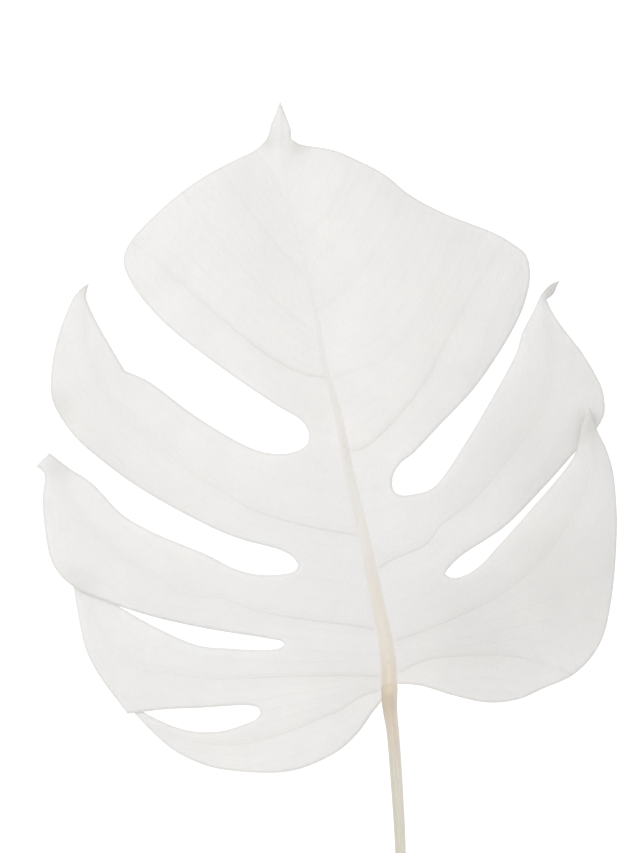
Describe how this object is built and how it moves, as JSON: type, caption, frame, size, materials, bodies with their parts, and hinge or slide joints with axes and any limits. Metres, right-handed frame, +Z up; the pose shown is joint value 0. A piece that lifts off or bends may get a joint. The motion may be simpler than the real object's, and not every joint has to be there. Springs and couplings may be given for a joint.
{
  "type": "monstera leaf",
  "caption": "Cut monstera leaf lying face up, a split and lobed blade with midrib and side veins on a long bare stalk, pale preserved finish.",
  "frame": {"origin": "centre of the leaf's outer box at the level of the surface it lies on", "axes": "+Z up out of the leaf's upper face, +Y from the cut end of the stalk toward the leaf's tip, +X to the right seen from above"},
  "size_m": [0.2916, 0.6146, 0.0276],
  "materials": {
    "blade_skin": "pale preserved leaf, satin",
    "stalk_skin": "dry fibrous stalk, matte"
  },
  "bodies": {
    "root": {"leaf_blade": "blade_skin", "petiole": "stalk_skin"}
  },
  "joints": []
}
